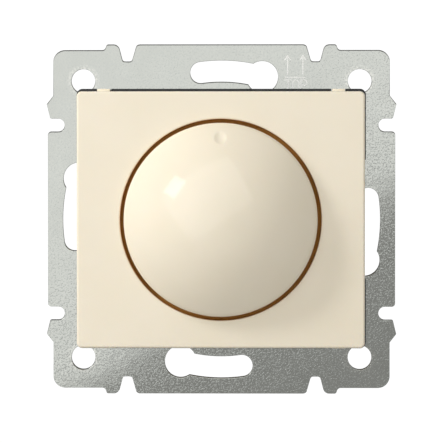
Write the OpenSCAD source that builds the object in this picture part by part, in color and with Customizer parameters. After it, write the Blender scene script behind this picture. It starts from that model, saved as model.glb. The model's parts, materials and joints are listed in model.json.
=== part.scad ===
// Flush-mounted rotary dimmer for a 60 mm wall box: push to switch, turn to dim.
// The origin is on the knob's axis, in the plane of the wall (the support frame's rear face).
// +Z is up as installed, the knob points along -Y, and the housing goes into the wall along +Y.

/* [Support frame] */
// Width of the steel frame over its straight side edges
frame_w = 70.4; // [69:0.1:72]
// Height of the steel frame over its straight top and bottom edges
frame_h = 70.8; // [69:0.1:72]
// Thickness of the sheet steel
frame_t = 1.0; // [0.8:0.1:1.2]
// Distance between opposite wall box screws
box_pitch = 60; // [60:0.1:60.4]
// Width of the curved slots for the wall box screws
slot_w = 4.3; // [3.8:0.1:4.5]
// Diameter of the keyhole at the end of each slot
keyhole_d = 6.4; // [6:0.1:6.6]
// Spacing of the four corner screw holes, the same both ways
corner_pitch = 56; // [55.6:0.1:56.2]
// Diameter of the corner screw holes
corner_d = 4.8; // [4.4:0.1:5]

/* [Cover] */
// Width of the cover plate
cover_w = 57.7; // [57.2:0.1:58.2]
// Height of the cover plate
cover_h = 51.4; // [51:0.1:51.8]
// Distance of the cover's front face from the wall
cover_front = 9.0; // [8.8:0.1:9.4]
// Diameter of the round opening for the knob
well_d = 40.6; // [40.4:0.1:41]

/* [Knob] */
// Largest diameter of the knob
knob_d = 38.8; // [38:0.1:39]
// Distance of the knob's crown from the wall
knob_crown = 17.5; // [16.5:0.1:18.5]
// Radius of the sphere that shapes the knob's dome
dome_r = 31.1; // [29:0.1:34]
// Distance of the indicator dimple from the knob's axis
dimple_at = 16.4; // [15.5:0.1:16.6]

/* [Motion] */
// Travel of the knob when it is pressed
press_travel = 1.5; // [1:0.1:1.6]

/* [Housing] */
// Width and height of the housing behind the frame
housing_w = 45.4; // [44.8:0.1:45.6]
// Diameter that the housing's corners are rounded to
housing_d = 52; // [51:0.1:52]
// Depth of the housing behind the wall plane
housing_back = 30; // [30:0.1:31]

/* [Hidden] */
$fn = 64;

// Support frame
corner_half_w = frame_w / 2 - 1.1;
corner_half_h = frame_h / 2 - 1.15;
corner_r = 2.4;
notch_at = 19.07;
notch_w = 2.6;
notch_depth = 3.45;
notch_corner_r = 0.6;
notch_floor_half = 0.45;
notch_mouth_half = 2.05;
top_bar_half = 17.5;
side_bar_half = 17.77;
lobe_start = 20.6;
lobe_r = 1.25;
lobe_end = 22.9;
lobe_nose_r = 0.5;
lobe_fillet = 0.8;
slot_start = -8;
keyhole_angle = 16;
cutout_gap = 0.3;
lug_w = 6;
lug_top = 4.0;
lug_window_w = 3.4;
lug_window_back = 2.3;
lug_window_front = 3.4;

// Front frame
flange_half_w = 29.15;
flange_top = 26.32;
flange_bottom = 26.0;
flange_back = 2.6;
flange_front = 4.2;
skirt_t = 1.5;
clip_at = 23.65;
clip_w = 2.6;
clip_gap = 0.2;
clip_play = 0.05;
clip_arm_t = 0.9;
clip_leg_t = 1.2;
clip_hook = [1.6, 2.3];
clip_hook_z = [2.0, 0.1];
boss_at = 14.6;
boss_r = 3.0;
screw_head_r = 2.5;
screw_head = [2.9, 4.1];
screw_shank_r = 1.35;
screw_end = 6;
sink_boss_r = 7.2;
pillar_at = [23.5, 20];
pillar_w = 5;
recess_half = 12;
recess_x = 26.4;

// Cover
wall = 1.3;
cover_r = 1.0;
cover_t = 1.6;
cover_rim = 4.5;
well_floor_back = 4.4;
well_floor_front = 5.6;
well_hole_r = 8.6;

// Knob
knob_back = well_floor_front + press_travel + 0.4;
rim_r = 1.8;
dome_centre = knob_crown - dome_r;
knob_wall = 1.7;
rim_centre_r = knob_d / 2 - rim_r;
rim_centre_h = dome_centre + sqrt(pow(dome_r - rim_r, 2) - pow(rim_centre_r, 2));
tangent_r = rim_centre_r * dome_r / (dome_r - rim_r);
hub_r = 4.4;
hub_back = 8.9;
hub_top = 14.9;
dimple_r = 2.15;
dimple_depth = 0.4;

// Spindle and its bushing
spindle_r = 2.0;
flat_at = 1.4;
spindle_front = 14.6;
spindle_end = 10.2;
spindle_flat = 1.8;
bush_r = 4.0;
bush_front = 6.6;
nut_t = 1.7;
washer_t = 0.5;
bush_flange = [2.2, 3.2];
groove = [9.0, 9.5];
groove_r = 1.5;
running_gap = 0.05;

// Inside the housing
inner_half = housing_w / 2 - 1.6;
inner_r = housing_d / 2 - 1.6;
housing_front = 2.5;
rear_wall = 1.6;
board = [9.0, 10.6];
sink = [0.7, 2.2];
switch_half = 6.2;
switch_box = [11.5, 23.0];
switch_wall = 1.0;
plunger_r = 2.95;
plunger_flange = [12.6, 13.8];
plunger_stem_r = 2.4;
plunger_shoulder = 17.6;
plunger_end = 20.2;
bridge_y = 15.0;
bridge_t = 0.4;
contact_x = 3.7;
contact_t = 0.4;
contact_strip_x = 4.8;
terminal_pitch = 10;
terminal_y = 21.25;
wire_z = -10.2;
wire_r = 1.9;
busbar_z = -13.4;
cage_back = 25.5;
cage_front = 17.0;
choke_at = [13.9, 1.0];
fuse_at = [10.3, 14.3];

// Triac, screwed to the heat sink's leg
triac_w = 10;
triac_front = 12.2;
triac_body_back = 21.4;
triac_back = 27.2;
triac_body_t = 3;
tab_z = [17.9, 19.1];
pad_w = 13;
pad_t = 0.2;
triac_screw_y = 24.2;
triac_screw_r = 1.5;
triac_screw_l = 2.8;
triac_head_r = 2.6;
triac_head_t = 1.9;
sink_leg_w = 16;
sink_leg_z = [19.3, 20.8];

// Choke, capacitors and fuse
choke_core_r = [3.4, 6.0];
choke_y = [11.7, 17.7];
choke_wire = 0.7;
choke_turns = 20;
suppression_corner = [-20, 11.4, -6.2];
suppression_size = [13, 11.5, 6];
timing_corner = [-17.4, 11.2, 1.2];
timing_size = [7.2, 6.5, 2.8];
fuse_r = 2.6;
fuse_half = 10;
fuse_cap_l = 5;
fuse_cap_t = 0.25;
fuse_clip_x = [6, 9.2];
fuse_clip_t = 0.5;
fuse_clip_leg = [0.6, 2];
fuse_clip_mouth = 1.2;

// Terminals
busbar_w = 4.4;
busbar_y = [11.2, 26.5];
busbar_t = 1;
cage_w = 7.2;
cage_z = [-18, -7];
cage_side = 1;
cage_window_z = [-16, -8];
cage_thread_r = 1.75;
terminal_screw_z = -22.4;
terminal_head_r = 2.9;
terminal_head_t = 1.5;
terminal_shank_r = 1.65;

// How far solder ends stand out in front of the board, and how far a cut runs past a face
solder_end = 0.8;
past = 1;

// Component leads through the board: [x, z, radius of the lead, depth to where it meets its part]
capacitor_leads = [for (x = [-18.5, -8.5]) [x, -3.2, 0.35, 11.6]];
timing_leads = [for (x = [-16.3, -11.3]) [x, 2.6, 0.28, 11.4]];
choke_leads = [for (sx = [-1, 1]) [choke_at[0] + sx * 4.7, choke_at[1], 0.35, 11.1]];
wire_leads = concat(capacitor_leads, timing_leads, choke_leads);

// Axial parts that lie on the board: [x, z, body radius, body length, lead pitch, lead radius]
diac_place = [-15.5, 6.0, 0.9, 3.8, 7.2, 0.25];
resistor_places = [[-15.5, 8.9, 1.15, 6.0, 8.6, 0.3], [15.2, 12.4, 1.15, 6.0, 8.6, 0.3]];
axial_places = concat([diac_place], resistor_places);

// Holes in the board for flat pins: [x, z, radius]
pin_pitch = 3.2;
pin_z = -6;
track_holes = [for (i = [-1 : 1]) [i * pin_pitch, pin_z, 0.55]];
contact_holes = [for (sx = [-1, 1]) [sx * contact_strip_x, 0, 0.55]];
triac_holes = [for (i = [-1 : 1]) [i * 2.54, 16.35, 0.55]];
fuse_holes = [for (sx = [-1, 1]) [sx * 6.3, fuse_at[0], 1.1]];
busbar_holes = [for (i = [-1 : 1]) [i * terminal_pitch, busbar_z + 0.5, 0.85]];
pin_holes = concat(track_holes, contact_holes, triac_holes, fuse_holes, busbar_holes);

// An outline drawn as seen from the front, as a slab between two distances behind the wall plane
module slab(front, back) {
    translate([0, back, 0])
        rotate([90, 0, 0])
            linear_extrude(back - front)
                children();
}

// The same between two distances in front of the wall plane
module raised(back, front) {
    slab(-front, -back)
        children();
}

// A profile of radius and distance in front of the wall plane, turned about the knob's axis
module turned() {
    rotate([90, 0, 0])
        rotate_extrude()
            children();
}

module rounded_rect(w, h, r) {
    square([w, h - 2 * r], center = true);
    square([w - 2 * r, h], center = true);
    for (sx = [-1, 1], sy = [-1, 1])
        translate([sx * (w / 2 - r), sy * (h / 2 - r)])
            circle(r);
}

// A square with its corners cut round to a circle, as wall box parts are
module box_outline(half, r) {
    intersection() {
        square(2 * half, center = true);
        circle(r, $fn = 128);
    }
}

module mirrored_4() {
    for (sx = [0, 1], sy = [0, 1])
        mirror([sx, 0])
            mirror([0, sy])
                children();
}

module at_bosses() {
    for (sx = [-1, 1], sy = [-1, 1])
        translate([sx * boss_at, sy * boss_at])
            children();
}

function polar(r, clock_angle) = [r * sin(clock_angle), r * cos(clock_angle)];

// ---- Support frame ----

// Half an opening for a wall box screw: a curved slot that ends in a keyhole
module screw_slot() {
    r = box_pitch / 2;
    reach = 2 * r;
    intersection() {
        difference() {
            circle(r + slot_w / 2, $fn = 128);
            circle(r - slot_w / 2, $fn = 128);
        }
        polygon([[0, 0], polar(reach, slot_start), polar(reach, keyhole_angle)]);
    }
    translate(polar(r, slot_start))
        circle(slot_w / 2);
    translate(polar(r, keyhole_angle))
        circle(keyhole_d / 2);
}

// Tapered notch in the top edge where the decorative frame's clips go in
module top_notch() {
    floor_z = frame_h / 2 - notch_depth + notch_corner_r;
    floor_half = notch_floor_half + notch_corner_r;
    for (side = [-1, 1])
        translate([notch_at + side * notch_floor_half, floor_z])
            circle(notch_corner_r);
    translate([notch_at - notch_floor_half, floor_z - notch_corner_r])
        square([2 * notch_floor_half, 2 * notch_corner_r]);
    polygon([
        [notch_at - floor_half, floor_z],
        [notch_at + floor_half, floor_z],
        [notch_at + notch_mouth_half, frame_h / 2 + 0.5],
        [notch_at - notch_mouth_half, frame_h / 2 + 0.5]
    ]);
}

module side_notch() {
    bottom = frame_w / 2 - notch_depth + 0.05;
    translate([bottom + notch_w / 2, notch_at])
        circle(notch_w / 2);
    translate([bottom + notch_w / 2, notch_at - notch_w / 2])
        square([notch_depth, notch_w]);
}

// Rounded lobe beside the top notch, with a hollow fillet down to the corner
module top_lobe() {
    top = frame_h / 2;
    nose_z = top - lobe_nose_r;
    fillet_z = corner_half_h + lobe_fillet;
    fillet_x = lobe_end + sqrt(pow(lobe_nose_r + lobe_fillet, 2) - pow(fillet_z - nose_z, 2));
    translate([lobe_start + lobe_r, top - lobe_r])
        circle(lobe_r);
    translate([lobe_end, nose_z])
        circle(lobe_nose_r);
    translate([lobe_start + lobe_r, corner_half_h - 1])
        square([lobe_end - lobe_start - lobe_r, top - corner_half_h + 1]);
    difference() {
        polygon([[lobe_end, nose_z], [fillet_x, corner_half_h - 1], [fillet_x, fillet_z]]);
        translate([fillet_x, fillet_z])
            circle(lobe_fillet);
    }
}

// Hooked tab on the side edge that a snap-on frame grips
module side_hook() {
    polygon([
        [33, 20.4],
        [34.75, 20.4],
        [35.45, 23.3],
        [corner_half_w, 25.0],
        [33, 25.0]
    ]);
}

module frame_outline() {
    difference() {
        union() {
            rounded_rect(2 * corner_half_w, 2 * corner_half_h, corner_r);
            rounded_rect(2 * top_bar_half, frame_h, 1);
            rounded_rect(frame_w, 2 * side_bar_half, 0.7);
            mirrored_4() {
                top_lobe();
                side_hook();
            }
        }
        mirrored_4() {
            top_notch();
            side_notch();
        }
        for (a = [0 : 90 : 270])
            rotate(a)
                screw_slot();
        for (sx = [-1, 1], sy = [-1, 1])
            translate([sx, sy] * corner_pitch / 2)
                circle(corner_d / 2);
        box_outline(housing_w / 2 + cutout_gap, housing_d / 2 + cutout_gap);
    }
}

// Lug bent forward from the edge of the cut-out, with the window that a nose snaps into
module frame_lug() {
    edge = housing_w / 2 + cutout_gap;
    difference() {
        translate([edge, -lug_top, -lug_w / 2])
            cube([frame_t, lug_top, lug_w]);
        translate([edge - 1, -lug_window_front, -lug_window_w / 2])
            cube([frame_t + 2, lug_window_front - lug_window_back, lug_window_w]);
    }
}

module support_frame() {
    color("silver") {
        raised(0, frame_t)
            frame_outline();
        for (a = [0 : 90 : 270])
            rotate([0, a, 0])
                frame_lug();
    }
}

// ---- Front frame ----

module flange_outline() {
    translate([0, (flange_top - flange_bottom) / 2])
        rounded_rect(2 * flange_half_w, flange_top + flange_bottom, 1.2);
}

module clip_notch(height) {
    translate([clip_at - clip_w / 2 - clip_gap, height])
        square([clip_w + 2 * clip_gap, 5]);
}

// Notches for the cover's clip legs, from a given distance inside the flange's edge
module clip_notches(depth) {
    for (sx = [0, 1])
        mirror([sx, 0]) {
            clip_notch(flange_top - depth);
            mirror([0, 1])
                clip_notch(flange_bottom - depth);
        }
}

// Side recesses that leave the left and right box screws free
module side_recesses() {
    for (sx = [0, 1])
        mirror([sx, 0])
            translate([recess_x, -recess_half])
                square([5, 2 * recess_half]);
}

// Nose that snaps into a lug's window
module lug_nose() {
    edge = housing_w / 2 + cutout_gap;
    translate([edge + 0.25, -flange_back - 0.6, -lug_window_w / 2 + 0.3])
        cube([frame_t + 0.5, 0.6, lug_window_w - 0.6]);
}

module front_frame() {
    edge = housing_w / 2 + cutout_gap;
    ahead = cover_front;
    color([0.2, 0.21, 0.21]) {
        difference() {
            union() {
                raised(flange_back, flange_front)
                    flange_outline();
                raised(frame_t, flange_back)
                    difference() {
                        flange_outline();
                        translate([0, (flange_top - flange_bottom) / 2])
                            square([
                                2 * (flange_half_w - skirt_t),
                                flange_top + flange_bottom - 2 * skirt_t
                            ], center = true);
                    }
                raised(flange_front, cover_front - cover_t - 0.2)
                    mirrored_4()
                        translate(pillar_at)
                            rounded_rect(pillar_w, pillar_w, 0.8);
                raised(1.4, flange_back)
                    at_bosses()
                        circle(boss_r + 0.4);
                raised(-sink[0], flange_back)
                    circle(sink_boss_r);
            }
            raised(frame_t - past, ahead)
                side_recesses();
            raised(frame_t - past, ahead)
                clip_notches(clip_leg_t + 0.15);
            raised(frame_t - past, clip_hook[1] + 0.15)
                clip_notches(clip_hook_z[0] + 0.2);
            raised(screw_head[0], ahead)
                at_bosses()
                    circle(screw_head_r + 0.2);
            raised(-2, ahead)
                at_bosses()
                    circle(screw_shank_r + 0.15);
            raised(-2, ahead)
                circle(bush_r + 0.05);
            raised(0, flange_back)
                for (sx = [-1, 1], sy = [-1, 1])
                    translate([sx, sy] * corner_pitch / 2)
                        circle(corner_d / 2 + 0.2);
            for (a = [0 : 90 : 270])
                rotate([0, a, 0])
                    translate([edge - 0.1, -flange_front - 1, -lug_w / 2 - 0.15])
                        cube([frame_t + 0.25, 3, lug_w + 0.3]);
        }
        for (a = [0 : 90 : 270])
            rotate([0, a, 0])
                lug_nose();
    }
}

// Four screws that join the front frame to the housing, heads sunk in the front frame
module frame_screws() {
    color("gainsboro")
        difference() {
            union() {
                raised(screw_head[0], screw_head[1])
                    at_bosses()
                        circle(screw_head_r);
                slab(-screw_head[0], screw_end)
                    at_bosses()
                        circle(screw_shank_r);
            }
            raised(screw_head[0] + 0.5, screw_head[1] + past)
                at_bosses() {
                    square([3, 0.6], center = true);
                    square([0.6, 3], center = true);
                }
        }
}

// ---- Cover ----

module cover_outline(inset) {
    rounded_rect(cover_w - 2 * inset, cover_h - 2 * inset, max(cover_r - inset, 0.3));
}

// Leg with an inward hook that clips under the front frame's edge
module clip_leg(edge) {
    arm_front = cover_rim + clip_arm_t;
    outside = edge - clip_play;
    translate([clip_at - clip_w / 2, 0, 0]) {
        translate([0, -arm_front, cover_h / 2 - wall])
            cube([clip_w, clip_arm_t, outside - cover_h / 2 + wall]);
        translate([0, -arm_front, outside - clip_leg_t])
            cube([clip_w, arm_front - clip_hook[0], clip_leg_t]);
        translate([0, -clip_hook[1], edge - clip_hook_z[0]])
            cube([clip_w, clip_hook[1] - clip_hook[0], clip_hook_z[0] - clip_hook_z[1]]);
    }
}

module cover() {
    color([0.97, 0.92, 0.82])
        difference() {
            union() {
                difference() {
                    raised(cover_rim, cover_front)
                        cover_outline(0);
                    raised(cover_rim - 1, cover_front - cover_t)
                        cover_outline(wall);
                }
                raised(well_floor_back, cover_front)
                    circle(well_d / 2 + wall, $fn = 128);
                for (sx = [0, 1])
                    mirror([sx, 0, 0]) {
                        clip_leg(flange_top);
                        mirror([0, 0, 1])
                            clip_leg(flange_bottom);
                    }
            }
            raised(well_floor_front, cover_front + 1)
                circle(well_d / 2, $fn = 128);
            raised(well_floor_back - 1, cover_front)
                circle(well_hole_r);
        }
}

// ---- Knob ----

module dome_profile(inset) {
    intersection() {
        translate([0, dome_centre])
            circle(dome_r - inset, $fn = 256);
        translate([0, knob_back])
            square([tangent_r - inset * tangent_r / dome_r, knob_crown - knob_back + 1]);
    }
    translate([rim_centre_r, rim_centre_h])
        circle(max(rim_r - inset, 0.1), $fn = 48);
    translate([0, knob_back - inset])
        square([knob_d / 2 - inset, rim_centre_h - knob_back + inset]);
}

module knob_shell() {
    turned()
        difference() {
            intersection() {
                dome_profile(0);
                square([knob_d, 2 * knob_crown]);
            }
            dome_profile(knob_wall);
        }
}

module knob() {
    angle = asin(dimple_at / dome_r);
    lift = dome_r + dimple_r - dimple_depth;
    color([0.98, 0.93, 0.83])
        difference() {
            union() {
                knob_shell();
                intersection() {
                    union() {
                        raised(hub_back, knob_crown)
                            circle(hub_r);
                        for (a = [0 : 60 : 300])
                            rotate([0, a + 30, 0])
                                translate([-0.5, -knob_crown, 0])
                                    cube([1, knob_crown - hub_back - 1, knob_d / 2 - 0.8]);
                    }
                    turned()
                        intersection() {
                            dome_profile(knob_wall / 2);
                            square([knob_d, 2 * knob_crown]);
                        }
                }
            }
            raised(hub_back - 1, hub_top)
                difference() {
                    circle(spindle_r + 0.02);
                    translate([flat_at + 0.02, -5])
                        square(10);
                }
            translate([flat_at - 0.1, -hub_top, -1.5])
                cube([1.2, hub_top - hub_back + 1, 3]);
            translate([0, -dome_centre - lift * cos(angle), lift * sin(angle)])
                sphere(dimple_r);
        }
}

// Bowed leaf spring that takes up the play between the spindle's flat and the hub
module knob_spring() {
    color("silver") {
        translate([flat_at + 0.05, -hub_top + 0.3, -1.3])
            cube([0.3, 5.4, 2.6]);
        translate([flat_at + 0.05, -hub_top + 0.3, -1.3])
            cube([0.95, 0.3, 2.6]);
    }
}

// ---- Spindle ----

module d_outline(r, flat) {
    difference() {
        circle(r);
        translate([flat, -2 * r])
            square(4 * r);
    }
}

module spindle() {
    color("gainsboro") {
        raised(hub_back + 0.2, spindle_front)
            d_outline(spindle_r, flat_at);
        slab(-hub_back - 0.2, spindle_flat)
            circle(spindle_r);
        slab(spindle_flat, groove[0])
            d_outline(spindle_r, flat_at);
        slab(groove[0], groove[1])
            d_outline(groove_r, flat_at);
        slab(groove[1], spindle_end)
            d_outline(spindle_r, flat_at);
    }
}

// Retaining ring behind the rotor, which stops the spindle at its rest position
module spindle_clip() {
    color("dimgray")
        slab(groove[0] + 0.05, groove[1] - 0.05)
            difference() {
                circle(2.9);
                circle(groove_r + 0.02);
                translate([0, -3])
                    square([2 * groove_r, 6], center = true);
            }
}

module spindle_nut() {
    nut_back = flange_front + washer_t;
    color("silver")
        raised(nut_back, nut_back + nut_t)
            difference() {
                circle(11 / sqrt(3), $fn = 6);
                circle(bush_r);
            }
}

module spindle_washer() {
    color("silver")
        raised(flange_front, flange_front + washer_t)
            difference() {
                circle(6.8);
                circle(bush_r + 0.1);
            }
}

module bushing() {
    color("goldenrod")
        difference() {
            union() {
                slab(-bush_front, bush_flange[0])
                    circle(bush_r);
                slab(bush_flange[0], bush_flange[1])
                    circle(7);
            }
            slab(-bush_front - 1, bush_flange[1] + 1)
                circle(spindle_r + running_gap);
        }
}

// ---- Housing ----

module housing() {
    half = housing_w / 2;
    r = housing_d / 2;
    color([0.86, 0.86, 0.84])
        difference() {
            union() {
                difference() {
                    slab(-housing_front, housing_back)
                        box_outline(half, r);
                    slab(-housing_front - 1, housing_back - rear_wall)
                        box_outline(inner_half, inner_r);
                }
                // Screw bosses, which the circuit board rests on
                slab(-1.3, board[0] - 0.1)
                    intersection() {
                        union() {
                            at_bosses()
                                circle(boss_r);
                            for (a = [45 : 90 : 315])
                                rotate(a)
                                    translate([boss_at * sqrt(2), -2])
                                        square([boss_r * 2, 4]);
                        }
                        box_outline(inner_half + 0.5, inner_r + 0.5);
                    }
                // Ledges behind the circuit board
                slab(board[1] + 0.1, housing_back - 1)
                    for (sx = [-1, 1])
                        translate([sx * (inner_half - 0.3), -4.5])
                            square([1.4, 3], center = true);
                // Walls between the terminals
                slab(14, housing_back - 1)
                    for (x = [-1.5 : 1 : 1.5])
                        translate([x * terminal_pitch, -14.2])
                            square([1, 14], center = true);
                // Thick mouths of the wire entries
                slab(housing_back - 3.2, housing_back - 1)
                    for (i = [-1 : 1])
                        translate([i * terminal_pitch, wire_z])
                            square([7.6, 5.8], center = true);
            }
            slab(-5, 7)
                at_bosses()
                    circle(screw_shank_r + 0.02);
            for (i = [-1 : 1]) {
                translate([i * terminal_pitch, 0, wire_z])
                    rotate([-90, 0, 0])
                        cylinder(r = wire_r, h = 2 * housing_back);
                translate([i * terminal_pitch, terminal_y, -half - 1])
                    cylinder(r = 3.2, h = 4);
            }
        }
}

// Aluminium plate behind the front frame, with the leg that cools the triac
module heat_sink() {
    color("lightgray")
        difference() {
            union() {
                slab(sink[0], sink[1])
                    circle(17);
                translate([-sink_leg_w / 2, sink[0], 10])
                    cube([sink_leg_w, sink[1] - sink[0], sink_leg_z[1] - 10]);
                translate([-sink_leg_w / 2, sink[0], sink_leg_z[0]])
                    cube([sink_leg_w, triac_back - sink[0] + 0.3, sink_leg_z[1] - sink_leg_z[0]]);
            }
            slab(sink[0] - past, sink[1] + past)
                circle(bush_r + 0.1);
            translate([0, triac_screw_y, sink_leg_z[0] - past])
                cylinder(r = triac_screw_r, h = sink_leg_z[1] - sink_leg_z[0] + 2 * past);
        }
}

// ---- Potentiometer ----

module track_case() {
    color([0.16, 0.16, 0.17])
        difference() {
            slab(bush_flange[1], 8.9)
                circle(8);
            slab(4.0, 10)
                circle(7.2);
            slab(0, 10)
                circle(3.4);
        }
}

// Paper-based disc with the carbon track
module track_wafer() {
    color("saddlebrown")
        slab(7.5, 8.5)
            difference() {
                circle(7.1);
                circle(3.3);
                for (hole = track_holes)
                    translate([hole[0], hole[1]])
                        circle(hole[2]);
            }
}

module track_pins() {
    color("silver")
        for (hole = track_holes)
            translate([hole[0] - 0.4, 7.5, hole[1] - 0.2])
                cube([0.8, 3.8, 0.4]);
}

// Rotor that the spindle's flat turns while the spindle slides through it
module rotor() {
    color("ivory")
        difference() {
            union() {
                slab(4.5, 5.8)
                    circle(6.6);
                slab(3.5, 8.9)
                    circle(3.1);
            }
            slab(3, 10)
                d_outline(spindle_r + running_gap, flat_at + running_gap);
        }
}

module wiper() {
    color("goldenrod") {
        slab(5.8, 6.1)
            difference() {
                circle(6.0);
                circle(3.1);
            }
        for (a = [-8, 8])
            rotate([0, a, 0])
                translate([-0.4, 6.1, 4.2])
                    cube([0.8, 1.3, 1.6]);
    }
}

// ---- Circuit board ----

module circuit_board() {
    color("darkgoldenrod")
        slab(board[0], board[1])
            difference() {
                box_outline(inner_half - 0.25, inner_r - 0.25);
                circle(3.6);
                translate([-8.6, 18.9])
                    square([17.2, 5]);
                for (hole = pin_holes)
                    translate([hole[0], hole[1]])
                        circle(hole[2]);
                for (lead = wire_leads)
                    translate([lead[0], lead[1]])
                        circle(lead[2] + 0.1);
                for (part = axial_places, sx = [-1, 1])
                    translate([part[0] + sx * part[4] / 2, part[1]])
                        circle(part[5] + 0.1);
            }
}

// ---- Push switch ----

module switch_case() {
    inside = switch_half - switch_wall;
    color([0.13, 0.13, 0.14]) {
        difference() {
            slab(switch_box[0], switch_box[1])
                square(2 * switch_half, center = true);
            slab(switch_box[0] + switch_wall, switch_box[1] - switch_wall)
                square(2 * inside, center = true);
            slab(switch_box[0] - 1, switch_box[0] + 2)
                circle(plunger_r + 0.1);
            for (sx = [-1, 1])
                translate([sx * contact_strip_x - 0.25, switch_box[0] - 1, -1.3])
                    cube([0.5, 3, 2.6]);
        }
        slab(board[1] + 0.05, switch_box[0])
            for (sx = [-1, 1], sy = [-1, 1])
                translate([sx, sy] * (switch_half - switch_wall))
                    circle(0.7);
    }
}

module switch_plunger() {
    color("white")
        difference() {
            union() {
                slab(spindle_end + 0.1, plunger_flange[0])
                    circle(plunger_r);
                slab(plunger_flange[0], plunger_flange[1])
                    square([7.6, 6.4], center = true);
                slab(plunger_flange[1], plunger_shoulder)
                    circle(plunger_stem_r);
                slab(plunger_shoulder, plunger_end)
                    circle(1.1);
            }
            // Window that the contact bridge sits in
            translate([-4, bridge_y - 1.0, -0.9])
                cube([8, 3.0, 1.8]);
        }
}

function coil_point(i, steps, turns, r, y0, y1) =
    let (t = i / steps)
    [r * cos(360 * turns * t), y0 + (y1 - y0) * t, r * sin(360 * turns * t)];

// Compression spring along Y: a round wire swept along a helix
module coil_spring(r, wire_r, turns, y0, y1, sides = 6, per_turn = 20) {
    steps = round(turns * per_turn);
    points = [
        for (i = [0 : steps])
            let (
                p = coil_point(i, steps, turns, r, y0, y1),
                outward = [p[0], 0, p[2]] / r
            )
            for (k = [0 : sides - 1])
                p + wire_r * (outward * cos(360 * k / sides) + [0, 1, 0] * sin(360 * k / sides))
    ];
    walls = [
        for (i = [0 : steps - 1], k = [0 : sides - 1])
            let (a = i * sides + k, b = i * sides + (k + 1) % sides)
            [a, b, b + sides, a + sides]
    ];
    first = [for (k = [0 : sides - 1]) sides - 1 - k];
    last = [for (k = [0 : sides - 1]) steps * sides + k];
    polyhedron(points, concat([first], walls, [last]));
}

module switch_spring() {
    color("silver")
        coil_spring(1.75, 0.25, 4, plunger_shoulder + 0.3, switch_box[1] - switch_wall - 0.3);
}

// Bridge that joins the two fixed contacts when it moves back
module contact_bridge() {
    color("goldenrod") {
        translate([-4.3, bridge_y, -0.7])
            cube([8.6, bridge_t, 1.4]);
        for (sx = [-1, 1])
            translate([sx * contact_x, bridge_y + bridge_t, 0])
                rotate([-90, 0, 0])
                    cylinder(r = 0.6, h = contact_t);
    }
}

// Two strips whose inner feet carry the contacts and whose front ends are soldered to the board
module fixed_contacts() {
    foot_y = bridge_y + bridge_t + contact_t + 0.6 * press_travel + 0.1;
    color("darkgoldenrod")
        for (sx = [0, 1])
            mirror([sx, 0, 0]) {
                translate([contact_strip_x - 0.2, board[0], -0.4])
                    cube([0.4, 3, 0.8]);
                translate([contact_strip_x - 0.2, board[1] + 1, -1.2])
                    cube([0.4, foot_y + 0.4 - board[1] - 1, 2.4]);
                translate([contact_x - 0.8, foot_y, -1.2])
                    cube([contact_strip_x - contact_x + 0.8, 0.4, 2.4]);
            }
}

// ---- Triac ----

module triac_body() {
    color([0.1, 0.1, 0.11])
        translate([-triac_w / 2, triac_front, tab_z[0] - triac_body_t])
            cube([triac_w, triac_body_back - triac_front, triac_body_t]);
}

// Metal tab with the three leads, which are stamped from the same strip
module triac_tab() {
    color("silver") {
        difference() {
            translate([-triac_w / 2, triac_front, tab_z[0]])
                cube([triac_w, triac_back - triac_front, tab_z[1] - tab_z[0]]);
            translate([0, triac_screw_y, tab_z[0] - past])
                cylinder(r = triac_screw_r + 0.2, h = tab_z[1] - tab_z[0] + 2 * past);
        }
        for (hole = triac_holes)
            translate([hole[0] - 0.35, board[0] - 0.9, hole[1] - 0.25])
                cube([0.7, triac_front - board[0] + 0.9, 0.5]);
    }
}

module triac_pad() {
    color("lightsteelblue")
        difference() {
            translate([-pad_w / 2, triac_front - 0.2, tab_z[1]])
                cube([pad_w, triac_back - triac_front + 0.2, pad_t]);
            translate([0, triac_screw_y, tab_z[1] - past])
                cylinder(r = triac_screw_r + 0.1, h = pad_t + 2 * past);
        }
}

module triac_screw() {
    color("gainsboro")
        translate([0, triac_screw_y, tab_z[0]])
            difference() {
                union() {
                    translate([0, 0, -triac_head_t])
                        cylinder(r = triac_head_r, h = triac_head_t);
                    cylinder(r = triac_screw_r, h = triac_screw_l);
                }
                translate([-0.35, -3, -triac_head_t - past])
                    cube([0.7, 6, past + 0.6]);
            }
}

// ---- Suppression choke ----

module choke_core() {
    color("dimgray")
        translate([choke_at[0], 0, choke_at[1]])
            slab(choke_y[0], choke_y[1])
                difference() {
                    circle(choke_core_r[1]);
                    circle(choke_core_r[0]);
                }
}

// Each turn is a square loop of wire around the ring
module choke_winding() {
    depth = choke_y[1] - choke_y[0];
    thick = choke_core_r[1] - choke_core_r[0];
    color("peru")
        translate([choke_at[0], (choke_y[0] + choke_y[1]) / 2, choke_at[1]])
            for (i = [0 : choke_turns - 1])
                rotate([0, i * 360 / choke_turns, 0])
                    translate([(choke_core_r[0] + choke_core_r[1]) / 2, 0, -choke_wire / 2])
                        linear_extrude(choke_wire)
                            difference() {
                                rounded_rect(thick + 1.6, depth + 1.6, 0.5);
                                square([thick + 0.2, depth + 0.04], center = true);
                            }
}

// ---- Small components ----

module suppression_capacitor() {
    color("gold")
        translate(suppression_corner)
            cube(suppression_size);
}

module timing_capacitor() {
    color("firebrick")
        translate(timing_corner)
            cube(timing_size);
}

function axial_y(part) = board[1] + part[2] + 0.3;

module axial_body(part) {
    translate([part[0] - part[3] / 2, axial_y(part), part[1]])
        rotate([0, 90, 0])
            cylinder(r = part[2], h = part[3]);
}

module axial_leads(part) {
    r = part[5];
    for (sx = [0, 1])
        translate([part[0], 0, part[1]])
            mirror([sx, 0, 0]) {
                translate([part[4] / 2, board[0] - solder_end, 0])
                    rotate([-90, 0, 0])
                        cylinder(r = r, h = axial_y(part) - board[0] + solder_end + r);
                translate([part[3] / 2, axial_y(part), 0])
                    rotate([0, 90, 0])
                        cylinder(r = r, h = (part[4] - part[3]) / 2);
            }
}

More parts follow.
